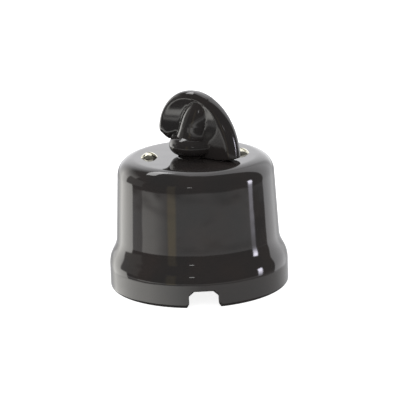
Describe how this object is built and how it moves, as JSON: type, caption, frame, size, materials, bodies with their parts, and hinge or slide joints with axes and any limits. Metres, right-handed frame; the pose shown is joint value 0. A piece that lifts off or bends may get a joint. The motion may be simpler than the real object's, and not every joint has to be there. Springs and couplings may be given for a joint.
{
  "type": "rotary light switch",
  "caption": "Surface-mounted rotary light switch: black glazed porcelain drum cover with a flared rim and cable notch, a wing knob that turns a quarter turn, and slotted brass screws.",
  "frame": {"origin": "on the spindle's axis, in the plane of the wall face", "axes": "+Z along the spindle, out of the wall, and -Y towards the cable notch"},
  "size_m": [0.065, 0.065, 0.071],
  "materials": {
    "black_glaze": "gloss",
    "white_porcelain": "satin",
    "brass": "satin",
    "steel": "satin",
    "bronze": "satin",
    "phenolic": "matte"
  },
  "bodies": {
    "housing": {"cover": "black_glaze", "cover_screws": "brass", "base": "white_porcelain", "pillar_left": "brass", "pillar_right": "brass", "pillar_screws": "steel", "bridge": "steel", "bridge_nuts": "brass", "bearing_bush": "brass", "stop_pins": "steel", "thrust_washer": "steel", "detent_spring": "steel", "terminal_back_right": "brass", "terminal_back_left": "brass", "terminal_front_left": "brass", "terminal_front_right": "brass", "contact_finger_back_right": "bronze", "contact_finger_back_left": "bronze", "contact_finger_front_left": "bronze", "contact_finger_front_right": "bronze", "terminal_screws": "brass", "terminal_fixings": "brass"},
    "rotor": {"knob": "black_glaze", "knob_insert": "brass", "spindle": "brass", "stop_arm": "steel", "rotor": "phenolic", "contact_segment_front": "bronze", "contact_segment_back": "bronze"}
  },
  "joints": [
    {"name": "knob_turn", "type": "hinge", "parent": "housing", "child": "rotor", "pos_m": [0, 0, 0], "axis": [0, 0, 1], "range_deg": [-90, 0], "deforming": ["detent_spring"]}
  ]
}
